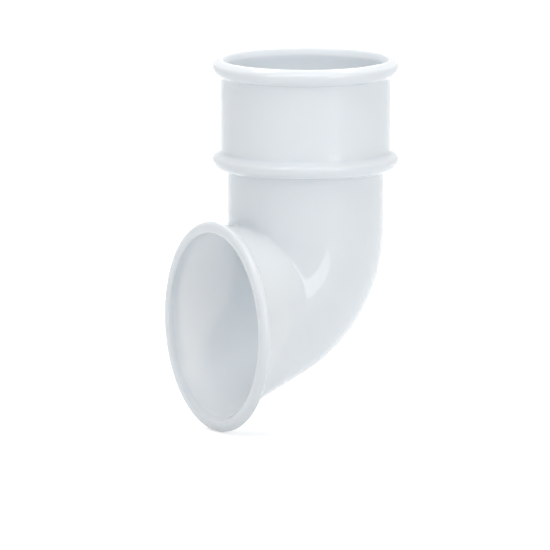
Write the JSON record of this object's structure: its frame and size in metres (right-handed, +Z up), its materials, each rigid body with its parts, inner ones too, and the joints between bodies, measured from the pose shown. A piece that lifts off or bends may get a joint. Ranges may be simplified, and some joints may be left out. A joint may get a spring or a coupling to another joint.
{
  "type": "downpipe shoe",
  "caption": "White moulded shoe for the foot of a round downpipe: a beaded socket, a swept bend and a flared mouth with a rolled lip that throws water clear of the wall.",
  "frame": {"origin": "on the downpipe's axis at the seat inside the socket that stops the pipe", "axes": "+Z up the downpipe, the mouth faces -Y, +X to the right seen from the mouth's back"},
  "size_m": [0.0916, 0.0862, 0.16],
  "materials": {
    "white_upvc": "glossy moulded white"
  },
  "bodies": {
    "root": {"downpipe_shoe": "white_upvc"}
  },
  "joints": []
}
